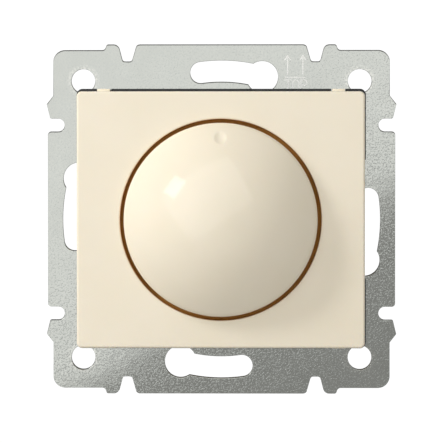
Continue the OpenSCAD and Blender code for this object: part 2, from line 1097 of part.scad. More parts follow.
module diac() {
    color("steelblue")
        axial_body(diac_place);
}

module resistors() {
    color("burlywood")
        for (part = resistor_places)
            axial_body(part);
}

// Tinned wire leads of the capacitors, choke, diac and resistors
module component_leads() {
    color("silver") {
        for (lead = wire_leads)
            translate([lead[0], board[0] - solder_end, lead[1]])
                rotate([-90, 0, 0])
                    cylinder(r = lead[2], h = lead[3] - board[0] + solder_end - 0.2);
        for (part = axial_places)
            axial_leads(part);
    }
}

// ---- Fuse ----

module along_fuse(x0, x1, r) {
    translate([x0, fuse_at[1], fuse_at[0]])
        rotate([0, 90, 0])
            cylinder(r = r, h = x1 - x0);
}

module fuse_glass() {
    color("lightcyan")
        difference() {
            along_fuse(-fuse_half + 1.2, fuse_half - 1.2, fuse_r - fuse_cap_t);
            along_fuse(-fuse_half, fuse_half, fuse_r - 0.75);
        }
}

module fuse_caps() {
    color("silver")
        for (sx = [0, 1])
            mirror([sx, 0, 0])
                difference() {
                    along_fuse(fuse_half - fuse_cap_l, fuse_half, fuse_r);
                    along_fuse(fuse_half - fuse_cap_l - past, fuse_half - 1, fuse_r - fuse_cap_t);
                }
}

module fuse_wire() {
    color("gray")
        along_fuse(-fuse_half + 1, fuse_half - 1, 0.12);
}

// Sprung clips that hold the fuse's caps, each cut from strip and soldered to the board
module fuse_clips() {
    color("goldenrod")
        for (sx = [0, 1])
            mirror([sx, 0, 0])
                difference() {
                    union() {
                        along_fuse(fuse_clip_x[0], fuse_clip_x[1], fuse_r + fuse_clip_t);
                        translate([fuse_clip_x[0], board[0] - solder_end, fuse_at[0] - fuse_clip_leg[1] / 2])
                            cube([fuse_clip_leg[0], fuse_at[1] - board[0] - 1, fuse_clip_leg[1]]);
                    }
                    along_fuse(-past, 2 * fuse_half, fuse_r);
                    translate([fuse_clip_x[0] - past, fuse_at[1] + fuse_clip_mouth, fuse_at[0] - 5])
                        cube([fuse_clip_x[1] - fuse_clip_x[0] + 2 * past, 5, 10]);
                }
}

// ---- Terminals ----

// Fixed bars that the wires are clamped to, soldered to the board at their front ends
module busbars() {
    color("goldenrod")
        for (i = [-1 : 1])
            translate([i * terminal_pitch, 0, 0]) {
                translate([-busbar_w / 2, busbar_y[0], busbar_z])
                    cube([busbar_w, busbar_y[1] - busbar_y[0], busbar_t]);
                translate([-0.6, board[0] - solder_end, busbar_z])
                    cube([1.2, 3.5, busbar_t]);
            }
}

// Rising cage: its thick lower wall is threaded, its upper wall pulls the wire onto the busbar
module terminal_cage(i) {
    color("silver")
        translate([(i - 2) * terminal_pitch, cage_front, 0])
            difference() {
                translate([-cage_w / 2, 0, cage_z[0]])
                    cube([cage_w, cage_back - cage_front, cage_z[1] - cage_z[0]]);
                translate([cage_side - cage_w / 2, -past, cage_window_z[0]])
                    cube([cage_w - 2 * cage_side, 20, cage_window_z[1] - cage_window_z[0]]);
                translate([0, terminal_y - cage_front, cage_z[0] - past])
                    cylinder(r = cage_thread_r, h = cage_window_z[0] - cage_z[0] + 2 * past);
            }
}

module terminal_screw(i) {
    color("gainsboro")
        translate([(i - 2) * terminal_pitch, terminal_y, 0])
            difference() {
                union() {
                    translate([0, 0, terminal_screw_z])
                        cylinder(r = terminal_head_r, h = terminal_head_t);
                    translate([0, 0, terminal_screw_z + terminal_head_t - 0.1])
                        cylinder(r = terminal_shank_r, h = busbar_z - terminal_screw_z - terminal_head_t);
                }
                translate([-0.4, -3, terminal_screw_z - past])
                    cube([0.8, 6, past + 1]);
            }
}

support_frame();
front_frame();
frame_screws();
cover();
knob();
knob_spring();
spindle();
spindle_clip();
spindle_nut();
spindle_washer();
bushing();
housing();
heat_sink();
track_case();
track_wafer();
track_pins();
rotor();
wiper();
circuit_board();
switch_case();
switch_plunger();
switch_spring();
contact_bridge();
fixed_contacts();
triac_body();
triac_tab();
triac_pad();
triac_screw();
choke_core();
choke_winding();
suppression_capacitor();
timing_capacitor();
diac();
resistors();
component_leads();
fuse_glass();
fuse_caps();
fuse_wire();
fuse_clips();
busbars();
terminal_cage(1);  // terminal_cage_1
terminal_cage(2);  // terminal_cage_2
terminal_cage(3);  // terminal_cage_3
terminal_screw(1);  // terminal_screw_1
terminal_screw(2);  // terminal_screw_2
terminal_screw(3);  // terminal_screw_3
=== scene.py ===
import json
import math

import bmesh
import bpy
from mathutils import Matrix, Vector


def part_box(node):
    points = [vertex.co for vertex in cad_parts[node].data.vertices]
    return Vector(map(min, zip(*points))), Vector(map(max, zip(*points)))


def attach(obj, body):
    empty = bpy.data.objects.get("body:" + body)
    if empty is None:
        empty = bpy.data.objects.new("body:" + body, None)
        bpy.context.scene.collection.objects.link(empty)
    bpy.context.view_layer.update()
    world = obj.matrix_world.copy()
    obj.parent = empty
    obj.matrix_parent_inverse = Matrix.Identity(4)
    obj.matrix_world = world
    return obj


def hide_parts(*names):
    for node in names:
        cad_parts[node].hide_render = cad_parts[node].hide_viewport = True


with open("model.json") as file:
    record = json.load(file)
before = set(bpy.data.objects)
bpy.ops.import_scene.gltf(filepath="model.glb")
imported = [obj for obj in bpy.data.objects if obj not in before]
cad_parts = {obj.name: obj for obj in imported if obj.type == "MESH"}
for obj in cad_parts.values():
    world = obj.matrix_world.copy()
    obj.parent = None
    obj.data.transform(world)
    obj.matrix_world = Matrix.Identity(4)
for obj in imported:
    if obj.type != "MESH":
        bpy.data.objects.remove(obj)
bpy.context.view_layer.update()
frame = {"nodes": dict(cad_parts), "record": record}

# Lengths in this script are in millimetres as seen from the front: x to the right, z up, and
# h towards the viewer from the wall plane, so that y = -h. MM turns them into metres.
MM = 0.001
nodes = frame["nodes"]


def box_mm(node):
    """Lowest and highest corner of a CAD node, in millimetres."""
    low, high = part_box(node)
    return low / MM, high / MM


# ---------------------------------------------------------------- camera, light and stage

VIEW_WIDTH = 89.9  # what the camera sees across, in the plane of the support frame
CAMERA_DISTANCE = 620
CAMERA_OFFSET = (11.5, 10.5)
AIM = (0.0, -0.5)
SENSOR = 36
# Lamps, which all face the origin: direction round the view from +x towards +z, height above the
# wall plane (both in degrees), distance, width round the view, width outwards, power in watts
LAMPS = {
    "window": (145.7, 46.6, 450, 113, 80, 0.11),
    "low_panel": (145, 22.5, 400, 170, 42, 0.8),
    "front_box": (123, 70.5, 700, 800, 566, 1.33),
}
SKY_LEVEL = 0.42
# Changes in the sky: towards where, the cosines where each starts and is full, and how much
GLOW = ((-0.7, -0.7, 0.1), 0.82, 0.97, 0.35)
CEILING = ((0, 0.35, 1), 0.72, 0.86, -0.39)
SKY_COLOUR = (1, 0.99, 0.975, 1)
BACKDROP_LEVEL = 1.05  # of the plain white that the camera sees
FLOOR_Z = -500
FLOOR_R = 900


def look_at(thing, target):
    thing.rotation_mode = "QUATERNION"
    thing.rotation_quaternion = (target - thing.location).to_track_quat("-Z", "Y")


def make_camera():
    data = bpy.data.cameras.new("camera")
    data.sensor_width = SENSOR
    data.lens = SENSOR * CAMERA_DISTANCE / VIEW_WIDTH
    data.clip_start = 0.01
    data.clip_end = 50
    camera = bpy.data.objects.new("camera", data)
    bpy.context.scene.collection.objects.link(camera)
    camera.location = Vector((CAMERA_OFFSET[0], -CAMERA_DISTANCE, CAMERA_OFFSET[1])) * MM
    look_at(camera, Vector((AIM[0], 0, AIM[1])) * MM)
    bpy.context.scene.camera = camera


def make_lamps():
    """A window at the upper left that shows in the knob, a panel low at the same side, which
    throws the knob's soft shadow on the cover, and a big box whose edge shows in the steel."""
    for name, (around, height, distance, width, depth, power) in LAMPS.items():
        data = bpy.data.lights.new(name, "AREA")
        data.shape = "RECTANGLE"
        data.size = width * MM
        data.size_y = depth * MM
        data.energy = power
        lamp = bpy.data.objects.new(name, data)
        bpy.context.scene.collection.objects.link(lamp)
        a, h = math.radians(around), math.radians(height)
        back = Vector((math.cos(h) * math.cos(a), -math.sin(h), math.cos(h) * math.sin(a)))
        side = Vector((-math.sin(a), 0, math.cos(a)))
        turn = Matrix((side, back.cross(side), back)).transposed()
        lamp.matrix_world = Matrix.Translation(back * distance * MM) @ turn.to_4x4()
        lamp.visible_camera = False
        lamp.visible_glossy = name != "low_panel"


def make_sky():
    """Even light from all round with a glow at the left and a dark ceiling, which makes the
    frame's upper edges dark. The camera sees it as plain white."""
    world = bpy.data.worlds.new("studio")
    bpy.context.scene.world = world
    world.use_nodes = True
    tree = world.node_tree
    tree.nodes.clear()
    light = tree.nodes.new("ShaderNodeBackground")
    light.inputs["Color"].default_value = SKY_COLOUR
    place = tree.nodes.new("ShaderNodeTexCoord")
    levels = []
    for (towards, start, end, amount), base in ((GLOW, SKY_LEVEL), (CEILING, 0)):
        along = tree.nodes.new("ShaderNodeVectorMath")
        along.operation = "DOT_PRODUCT"
        along.inputs[1].default_value = Vector(towards).normalized()
        tree.links.new(place.outputs["Generated"], along.inputs[0])
        level = tree.nodes.new("ShaderNodeMapRange")
        level.interpolation_type = "SMOOTHSTEP"
        level.inputs["From Min"].default_value = start
        level.inputs["From Max"].default_value = end
        level.inputs["To Min"].default_value = base
        level.inputs["To Max"].default_value = base + amount
        tree.links.new(along.outputs["Value"], level.inputs["Value"])
        levels.append(level.outputs["Result"])
    total = tree.nodes.new("ShaderNodeMath")
    tree.links.new(levels[0], total.inputs[0])
    tree.links.new(levels[1], total.inputs[1])
    tree.links.new(total.outputs[0], light.inputs["Strength"])
    seen = tree.nodes.new("ShaderNodeBackground")
    seen.inputs["Color"].default_value = (1, 1, 1, 1)
    seen.inputs["Strength"].default_value = BACKDROP_LEVEL
    path = tree.nodes.new("ShaderNodeLightPath")
    choose = tree.nodes.new("ShaderNodeMixShader")
    out = tree.nodes.new("ShaderNodeOutputWorld")
    tree.links.new(path.outputs["Is Camera Ray"], choose.inputs[0])
    tree.links.new(light.outputs[0], choose.inputs[1])
    tree.links.new(seen.outputs[0], choose.inputs[2])
    tree.links.new(choose.outputs[0], out.inputs["Surface"])


def make_floor():
    bm = bmesh.new()
    rim = ring(bm, circle(FLOOR_R, 96), 0)
    bm.faces.new(rim)
    bmesh.ops.rotate(bm, matrix=Matrix.Rotation(math.radians(90), 3, "X"), verts=bm.verts)
    mesh = bpy.data.meshes.new("floor")
    bm.to_mesh(mesh)
    bm.free()
    floor = bpy.data.objects.new("floor", mesh)
    floor.location = (0, 0, FLOOR_Z * MM)
    bpy.context.scene.collection.objects.link(floor)
    m = Material("floor")
    m.colour(m.mix(m.noise(300), srgb(236, 235, 232), srgb(226, 225, 222)))
    m.set(Roughness=0.9)
    mesh.materials.append(m.material)


# ---------------------------------------------------------------- outlines

ARC_STEP = 0.2  # spacing of the points along an arc
CORNER_STEPS = 10  # of a rounded rectangle
SHORTEST_EDGE = 0.02


def arc(cx, cz, r, start, end, step=ARC_STEP):
    """Points on an arc, the angles in degrees counted from +x towards +z."""
    count = max(3, round(abs(math.radians(end - start)) * r / step))
    angles = [math.radians(start + (end - start) * i / count) for i in range(count + 1)]
    return [(cx + r * math.cos(a), cz + r * math.sin(a)) for a in angles]


def circle(r, count, cx=0.0, cz=0.0):
    turns = [2 * math.pi * i / count for i in range(count)]
    return [(cx + r * math.cos(a), cz + r * math.sin(a)) for a in turns]


def rectangle(x0, z0, x1, z1):
    return [(x0, z0), (x1, z0), (x1, z1), (x0, z1)]


def rounded_rect(half_w, half_h, r):
    points = []
    for sx, sz, start in ((1, 1, 0), (-1, 1, 90), (-1, -1, 180), (1, -1, 270)):
        for i in range(CORNER_STEPS + 1):
            a = math.radians(start + 90 * i / CORNER_STEPS)
            points.append((sx * (half_w - r) + r * math.cos(a), sz * (half_h - r) + r * math.sin(a)))
    return points


def turned(points, degrees):
    c, s = math.cos(math.radians(degrees)), math.sin(math.radians(degrees))
    return [(x * c - z * s, x * s + z * c) for x, z in points]


def tidy_loop(points):
    """Drops points that repeat the one before them."""
    kept = []
    for p in points:
        if not kept or math.dist(p, kept[-1]) > SHORTEST_EDGE:
            kept.append(p)
    if math.dist(kept[0], kept[-1]) <= SHORTEST_EDGE:
        kept.pop()
    return kept


def area(loop):
    """Signed area of a loop, positive when it runs anticlockwise."""
    pairs = zip(loop, loop[1:] + loop[:1])
    return sum(a[0] * b[1] - b[0] * a[1] for a, b in pairs) / 2


def inset_loop(loop, distance, rest=1):
    """Moves a loop's points into the space that it surrounds, or out of it if negative. Where the
    edge left behind doesn't face up, a point moves only the share rest of the way."""
    side = distance if area(loop) > 0 else -distance
    moved = []
    for i, p in enumerate(loop):
        here = Vector(p)
        before = (here - Vector(loop[i - 1])).normalized()
        after = (Vector(loop[(i + 1) % len(loop)]) - here).normalized()
        left = Vector((-before.y - after.y, before.x + after.x)).normalized()
        slant = max(0.5, left.dot(Vector((-after.y, after.x))))
        faces_up = max(0, math.copysign(1, -side) * left.y)
        moved.append(tuple(here + left * side / slant * (rest + (1 - rest) * faces_up)))
    return moved


def quarter_round(r, steps):
    """Inset and drop along a rounded edge, from the side wall round to the front face."""
    turns = [math.radians(90 * i / steps) for i in range(steps + 1)]
    return [(r - r * math.cos(a), r - r * math.sin(a)) for a in turns]


# ---------------------------------------------------------------- mesh tools

CAD_WELD = 0.002
CAD_EDGE_ROUND = 0.08


def point(x, z, h):
    return Vector((x, -h, z)) * MM


def ring(bm, loop, h, place=point):
    return [bm.verts.new(place(x, z, h)) for x, z in loop]


def bridge(bm, one, two, material=0):
    """Quads between two rings of the same length."""
    for i in range(len(one)):
        face = bm.faces.new((one[i - 1], one[i], two[i], two[i - 1]))
        face.material_index = material


def join_rings(bm, rings, material=0):
    for one, two in zip(rings, rings[1:]):
        bridge(bm, one, two, material)


def fill_flat(bm, *rings):
    """Triangles over a flat space bounded by rings of vertices."""
    edges = []
    for loop in rings:
        for i in range(len(loop)):
            ends = (loop[i - 1], loop[i])
            edges.append(bm.edges.get(ends) or bm.edges.new(ends))
    bmesh.ops.triangle_fill(bm, edges=edges, use_beauty=True)


def add_plate(bm, loops, low, high, place=point, round_low=0.04, round_high=0.1, wall=0, rest=1):
    """A flat plate with holes. The first loop is its outline, and both its faces' edges are
    rounded. place(u, v, w) puts a point in space, w being from low to high. The wall's material
    reaches round to the last strip of the high edge. rest below 1 leaves edges that don't face
    up sharper."""
    ends = ([], [])
    for number, loop in enumerate(loops):
        side = 1 if number == 0 else -1
        soft_low = [(side * i, low + d) for i, d in quarter_round(round_low, 2)][::-1]
        soft_high = [(side * i, high - d) for i, d in quarter_round(round_high, 3)]
        rings = [ring(bm, inset_loop(loop, i), w, place) for i, w in soft_low]
        rings += [ring(bm, inset_loop(loop, i, rest), w, place) for i, w in soft_high]
        walls = len(soft_low)
        join_rings(bm, rings[:walls])
        join_rings(bm, rings[walls - 1:-1], wall)
        bridge(bm, rings[-2], rings[-1])
        ends[0].append(rings[0])
        ends[1].append(rings[-1])
    fill_flat(bm, *ends[0])
    fill_flat(bm, *ends[1])


def lathe(bm, profile, angles, material=0):
    """Turns a profile of (r, h) points about the knob's axis, open at both its ends."""
    rings = []
    for r, h in profile:
        rings.append([bm.verts.new(point(r * math.cos(a), r * math.sin(a), h)) for a in angles])
    join_rings(bm, rings, material)
    return rings


def new_piece(name, bm, body, node=None, materials=(), sharp=35):
    """Turns a bmesh into a piece that rides on a CAD body and may stand for a CAD node."""
    bmesh.ops.recalc_face_normals(bm, faces=bm.faces)
    for edge in bm.edges:
        kinds = {len(face.verts) == 4 for face in edge.link_faces}
        edge.smooth = edge.calc_face_angle(math.pi) < math.radians(sharp) and len(kinds) == 1
    for face in bm.faces:
        face.smooth = True
    mesh = bpy.data.meshes.new(name)
    bm.to_mesh(mesh)
    bm.free()
    piece = bpy.data.objects.new(name, mesh)
    bpy.context.scene.collection.objects.link(piece)
    for material in materials:
        mesh.materials.append(material)
    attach(piece, body)
    if node:
        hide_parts(node)
    return piece


def dress_cad(node, material):
    """Gives a CAD node its material, and takes the sharpness off its edges."""
    thing = nodes[node]
    thing.data.materials.clear()
    thing.data.materials.append(material)
    weld = thing.modifiers.new("weld", "WELD")
    weld.merge_threshold = CAD_WELD * MM
    soft = thing.modifiers.new("edge_round", "BEVEL")
    soft.width = CAD_EDGE_ROUND * MM
    soft.segments = 2
    soft.limit_method = "ANGLE"
    soft.angle_limit = math.radians(40)
    even = thing.modifiers.new("even_normals", "WEIGHTED_NORMAL")
    even.keep_sharp = False


# ---------------------------------------------------------------- materials


def srgb(r, g, b):
    """A colour given as it looks on a screen, from 0 to 255, as linear light."""
    light = []
    for v in (r / 255, g / 255, b / 255):
        light.append(v / 12.92 if v <= 0.04045 else ((v + 0.055) / 1.055) ** 2.4)
    return (*light, 1)


class Material:
    """A Principled material whose textures lie in the piece's own space, in millimetres."""

    def __init__(self, name):
        self.material = bpy.data.materials.new(name)
        self.material.use_nodes = True
        self.tree = self.material.node_tree
        self.shader = self.tree.nodes["Principled BSDF"]
        place = self.tree.nodes.new("ShaderNodeTexCoord")
        scale = self.tree.nodes.new("ShaderNodeVectorMath")
        scale.operation = "SCALE"
        scale.inputs["Scale"].default_value = 1 / MM
        self.link(place.outputs["Object"], scale.inputs[0])
        self.place = scale.outputs["Vector"]

    def link(self, a, b):
        self.tree.links.new(a, b)

    def feed(self, value, socket):
        if isinstance(value, bpy.types.NodeSocket):
            self.link(value, socket)
        else:
            socket.default_value = value

    def set(self, **values):
        for name, value in values.items():
            self.shader.inputs[name.replace("_", " ")].default_value = value

    def noise(self, size, detail=3, roughness=0.5, stretch=None, distortion=0.0):
        """Cloudy noise from 0 to 1 whose blobs are about that many millimetres across."""
        place = self.place
        if stretch:
            mapping = self.tree.nodes.new("ShaderNodeMapping")
            mapping.inputs["Scale"].default_value = stretch
            self.link(place, mapping.inputs["Vector"])
            place = mapping.outputs["Vector"]
        node = self.tree.nodes.new("ShaderNodeTexNoise")
        node.inputs["Scale"].default_value = 1 / size
        node.inputs["Detail"].default_value = detail
        node.inputs["Roughness"].default_value = roughness
        node.inputs["Distortion"].default_value = distortion
        self.link(place, node.inputs["Vector"])
        return node.outputs["Fac"]

    def ramp(self, value, low, high, out_low=0.0, out_high=1.0):
        node = self.tree.nodes.new("ShaderNodeMapRange")
        node.inputs["From Min"].default_value = low
        node.inputs["From Max"].default_value = high
        node.inputs["To Min"].default_value = out_low
        node.inputs["To Max"].default_value = out_high
        self.link(value, node.inputs["Value"])
        return node.outputs["Result"]

    def mix(self, factor, a, b):
        """Mixes two colours by a socket."""
        node = self.tree.nodes.new("ShaderNodeMix")
        node.data_type = "RGBA"
        self.link(factor, node.inputs["Factor"])
        self.feed(a, node.inputs[6])
        self.feed(b, node.inputs[7])
        return node.outputs[2]

    def math(self, operation, a, b=0.0):
        node = self.tree.nodes.new("ShaderNodeMath")
        node.operation = operation
        self.feed(a, node.inputs[0])
        self.feed(b, node.inputs[1])
        return node.outputs[0]

    def near_corners(self, reach):
        """Distance in millimetres from the nearest of the four points (+-reach, +-reach)."""
        split = self.tree.nodes.new("ShaderNodeSeparateXYZ")
        self.link(self.place, split.inputs[0])
        across = self.math("SUBTRACT", self.math("ABSOLUTE", split.outputs["X"]), reach)
        up = self.math("SUBTRACT", self.math("ABSOLUTE", split.outputs["Z"]), reach)
        squares = self.math("ADD", self.math("POWER", across, 2.0), self.math("POWER", up, 2.0))
        return self.math("SQRT", squares)

    def bump(self, *layers):
        """Adds bumps, each a socket and the height in millimetres that its 0 to 1 stands for."""
        normal = None
        for height, depth in layers:
            node = self.tree.nodes.new("ShaderNodeBump")
            node.inputs["Strength"].default_value = 1
            node.inputs["Distance"].default_value = depth * MM
            self.link(height, node.inputs["Height"])
            if normal:
                self.link(normal, node.inputs["Normal"])
            normal = node.outputs["Normal"]
        self.link(normal, self.shader.inputs["Normal"])

    def colour(self, socket):
        self.link(socket, self.shader.inputs["Base Color"])

    def roughness(self, socket):
        self.link(socket, self.shader.inputs["Roughness"])


def plastic(name, colour, shade, roughness, grain, grain_depth):
    """Moulded plastic: faint clouds of colour, a fine grain and slightly uneven gloss."""
    m = Material(name)
    m.colour(m.mix(m.ramp(m.noise(9, detail=4), 0.35, 0.65), colour, shade))
    m.roughness(m.ramp(m.noise(1.6), 0.3, 0.7, roughness * 0.85, roughness * 1.2))
    m.bump((m.noise(grain, detail=2), grain_depth))
    return m


def ivory_plastic():
    """Polished ivory plastic, a little translucent, with faint flow clouds and lint-fine grain."""
    m = plastic("ivory_plastic", srgb(250, 239, 217), srgb(248, 237, 214), 0.07, 0.45, 0.0002)
    m.set(Subsurface_Weight=0.08, Subsurface_Radius=(1.0, 0.7, 0.35), Subsurface_Scale=0.0012)
    return m.material


def ivory_depth():
    """Painted shade: the same ivory plastic down in the groove, painted a darker warm brown that stands
    for the shade there and the warm light that comes through the plastic and bounces in it.
    """
    # painted shade: a dark warm brown in place of the ivory, for the shaded groove
    m = plastic("ivory_plastic_painted_shade", srgb(238, 178, 90), srgb(230, 168, 80), 0.35, 0.45, 0.0006)
    return m.material


def zinc_face():
    """Rolled sheet with a thin zinc coat: clouds, fine mottle, scratches, and rings rubbed round
    the corner holes."""
    m = Material("zinc_steel")
    clouds = m.noise(6, detail=5, roughness=0.6)
    mottle = m.noise(0.35, roughness=0.6)
    rolled = m.noise(0.5, stretch=(0.25, 1, 1))
    scratches = m.noise(0.16, detail=2, stretch=(1, 1, 0.06), distortion=0.6)
    tone = m.mix(m.ramp(clouds, 0.3, 0.7), srgb(181, 183, 177), srgb(188, 190, 184))
    tone = m.mix(m.ramp(mottle, 0.3, 0.7), tone, srgb(178, 181, 177))
    ring_round = m.ramp(m.near_corners(CORNER_HOLE_AT), 2.5, 3.5, 1, 0)
    rubbed = m.math("MULTIPLY", ring_round, m.ramp(m.noise(0.5), 0.45, 0.6))
    m.colour(m.mix(rubbed, tone, srgb(205, 205, 199)))
    m.set(Metallic=1.0)
    worn = m.ramp(mottle, 0.3, 0.7, 0.05, 0.09)
    m.roughness(m.math("ADD", worn, m.ramp(scratches, 0.62, 0.8, 0, 0.1)))
    m.bump((clouds, 0.012), (m.ramp(mottle, 0.52, 0.72), 0.006), (rolled, 0.001), (scratches, 0.0008))
    return m.material


def zinc_cut():
    """Sheared edge of the sheet: bare steel torn across its thickness, duller than the face."""
    m = Material("zinc_cut_edge")
    torn = m.noise(0.25, detail=4, stretch=(1, 0.2, 1))
    m.colour(m.mix(m.ramp(torn, 0.35, 0.65), srgb(160, 161, 156), srgb(188, 188, 182)))
    m.set(Metallic=1.0)
    m.roughness(m.ramp(torn, 0.3, 0.7, 0.2, 0.34))
    m.bump((torn, 0.01))
    return m.material


def metal(name, light, dark, low, high):
    """Plain metal with uneven tone and polish, and fine marks from rolling or turning."""
    m = Material(name)
    m.colour(m.mix(m.ramp(m.noise(0.9, detail=4), 0.3, 0.7), light, dark))
    m.set(Metallic=1.0)
    m.roughness(m.ramp(m.noise(0.54), 0.3, 0.7, low, high))
    m.bump((m.noise(0.12, detail=2), 0.002))
    return m.material


def clear_glass():
    m = Material("clear_glass")
    m.set(Transmission_Weight=1.0, IOR=1.5, Base_Color=(0.95, 0.98, 0.97, 1))
    m.roughness(m.ramp(m.noise(1.2), 0.3, 0.7, 0.01, 0.05))
    m.bump((m.noise(1.5), 0.001))
    return m.material


def etched_mark():
    """Pale line etched into the zinc."""
    m = Material("etched_mark")
    m.colour(m.mix(m.noise(0.2), srgb(244, 245, 241), srgb(254, 254, 251)))
    m.set(Roughness=0.9)
    m.bump((m.noise(0.08), 0.001))
    return m.material


# Plastics and lacquers: two colours as they look on a screen, roughness, grain and its depth
PLASTICS = {
    "dark_plastic": ((44, 45, 46), (36, 37, 38), 0.5, 0.25, 0.004),
    "grey_plastic": ((205, 205, 200), (196, 197, 192), 0.42, 0.3, 0.004),
    "black_plastic": ((30, 30, 32), (24, 24, 26), 0.45, 0.3, 0.003),
    "white_plastic": ((238, 238, 232), (230, 230, 222), 0.3, 0.4, 0.001),
    "laminate": ((176, 134, 74), (158, 116, 60), 0.5, 0.15, 0.003),
    "mica": ((186, 190, 200), (172, 178, 190), 0.4, 0.6, 0.002),
    "ferrite": ((46, 46, 48), (60, 60, 60), 0.6, 0.2, 0.012),
    "yellow_plastic": ((222, 178, 48), (210, 164, 40), 0.4, 0.4, 0.003),
    "red_plastic": ((158, 40, 24), (138, 30, 18), 0.2, 0.9, 0.006),
    "blue_plastic": ((44, 84, 160), (36, 70, 140), 0.2, 0.5, 0.002),
    "beige_lacquer": ((204, 176, 126), (190, 160, 110), 0.3, 0.4, 0.004),
}
# Metals: two colours as they look on a screen, and the lowest and highest roughness
METALS = {
    "plated_steel": ((206, 208, 206), (176, 180, 178), 0.22, 0.36),
    "spring_steel": ((150, 152, 155), (120, 122, 126), 0.2, 0.32),
    "brass": ((214, 180, 106), (186, 148, 78), 0.2, 0.34),
    "bronze": ((206, 150, 98), (176, 120, 76), 0.22, 0.36),
    "aluminium": ((204, 206, 208), (186, 188, 190), 0.3, 0.42),
    "tinned_metal": ((214, 214, 210), (186, 186, 182), 0.16, 0.3),
    "copper": ((196, 104, 62), (160, 78, 44), 0.14, 0.24),
}


def make_materials():
    made = {"ivory_plastic": ivory_plastic(), "zinc_steel": zinc_face(), "clear_glass": clear_glass()}
    for name, (colour, shade, roughness, grain, depth) in PLASTICS.items():
        made[name] = plastic(name, srgb(*colour), srgb(*shade), roughness, grain, depth).material
    for name, (light, dark, low, high) in METALS.items():
        made[name] = metal(name, srgb(*light), srgb(*dark), low, high)
    return made


# ---------------------------------------------------------------- support frame

FRAME_HALF_H = box_mm("support_frame")[1].z
FRAME_HALF_W = 35.2
FRAME_T = 1.0
CORNER_HALF_W = FRAME_HALF_W - 1.1
CORNER_HALF_H = FRAME_HALF_H - 1.15
CORNER_R = 2.4
NOTCH_AT = 19.07
# Notches at the top and bottom, with leaning sides
NOTCH_DEPTH = 3.45
NOTCH_CORNER_R = 0.6
NOTCH_FLOOR_HALF = 0.45
NOTCH_TILT = 16.7
# Notches at the sides, round at the bottom
SIDE_NOTCH_DEPTH = 3.4
SIDE_NOTCH_R = 1.3
SIDE_NOTCH_ROUND = 0.7
TOP_BAR_HALF = 17.5
BAR_ROUND = 1.0
LOBE_START = 20.6
LOBE_R = 1.25
LOBE_END = 22.9
LOBE_NOSE_R = 0.5
LOBE_FILLET = 0.8
# Small hook beyond each side notch, and the foot that slopes from it to the notch
HOOK_AT = (FRAME_HALF_W, 23.25)
HOOK_R = 0.22
HOOK_HEAD_Z = 25.0
HOOK_FOOT = [(34.75, 20.5), (34.5, NOTCH_AT + SIDE_NOTCH_R)]
SLOT_R = 30.0
SLOT_HALF = 2.15
SLOT_START = 8
KEYHOLE_R = 3.2
KEYHOLE_ANGLE = 16
CORNER_HOLE_AT = 28.0
CORNER_HOLE_R = 2.4
CUT_OUT_HALF = box_mm("housing")[1].x + 0.3
CUT_OUT_R = 26.3
# Two opposite corners of a lug and of its window: along the cut-out's edge, ahead of the wall plane
LUG = (-3, 0.5, 3, 4.0)
LUG_WINDOW = (-1.7, 2.3, 1.7, 3.4)


def quarter_outline():
    """A quarter of the frame's edge, from the middle of the top to the middle of the right."""
    floor = FRAME_HALF_H - NOTCH_DEPTH + NOTCH_CORNER_R
    side_bottom = FRAME_HALF_W - SIDE_NOTCH_DEPTH + SIDE_NOTCH_R
    side_round = (FRAME_HALF_W - SIDE_NOTCH_ROUND, NOTCH_AT - SIDE_NOTCH_R - SIDE_NOTCH_ROUND)
    nose_z = FRAME_HALF_H - LOBE_NOSE_R
    fillet_z = CORNER_HALF_H + LOBE_FILLET
    reach = LOBE_NOSE_R + LOBE_FILLET
    fillet_x = LOBE_END + math.sqrt(reach ** 2 - (fillet_z - nose_z) ** 2)
    meet = bearing((fillet_x, fillet_z), (LOBE_END, nose_z))
    points = [(0, FRAME_HALF_H)]
    points += arc(TOP_BAR_HALF - BAR_ROUND, FRAME_HALF_H - BAR_ROUND, BAR_ROUND, 90, 40)
    points += arc(NOTCH_AT - NOTCH_FLOOR_HALF, floor, NOTCH_CORNER_R, 180 + NOTCH_TILT, 270)
    points += arc(NOTCH_AT + NOTCH_FLOOR_HALF, floor, NOTCH_CORNER_R, 270, 360 - NOTCH_TILT)
    points += arc(LOBE_START + LOBE_R, FRAME_HALF_H - LOBE_R, LOBE_R, 180 - NOTCH_TILT, 90)
    points += arc(LOBE_END, nose_z, LOBE_NOSE_R, 90, meet)
    points += arc(fillet_x, fillet_z, LOBE_FILLET, 180 + meet, 270)
    points += arc(CORNER_HALF_W - CORNER_R, CORNER_HALF_H - CORNER_R, CORNER_R, 90, 0)
    points.append((CORNER_HALF_W, HOOK_HEAD_Z))
    points += arc(*HOOK_AT, HOOK_R, 50, -20, step=0.08)
    points += HOOK_FOOT
    points += arc(side_bottom, NOTCH_AT, SIDE_NOTCH_R, 90, 270)
    points += arc(*side_round, SIDE_NOTCH_ROUND, 90, 0)
    points.append((FRAME_HALF_W, 0))
    return points


def frame_outline():
    quarter = quarter_outline()
    below = [(x, -z) for x, z in reversed(quarter)]
    left = [(-x, -z) for x, z in quarter]
    above = [(-x, z) for x, z in reversed(quarter)]
    return tidy_loop(quarter + below + left + above)


def along(r, degrees):
    return (r * math.cos(math.radians(degrees)), r * math.sin(math.radians(degrees)))


def bearing(target, start):
    return math.degrees(math.atan2(target[1] - start[1], target[0] - start[0]))


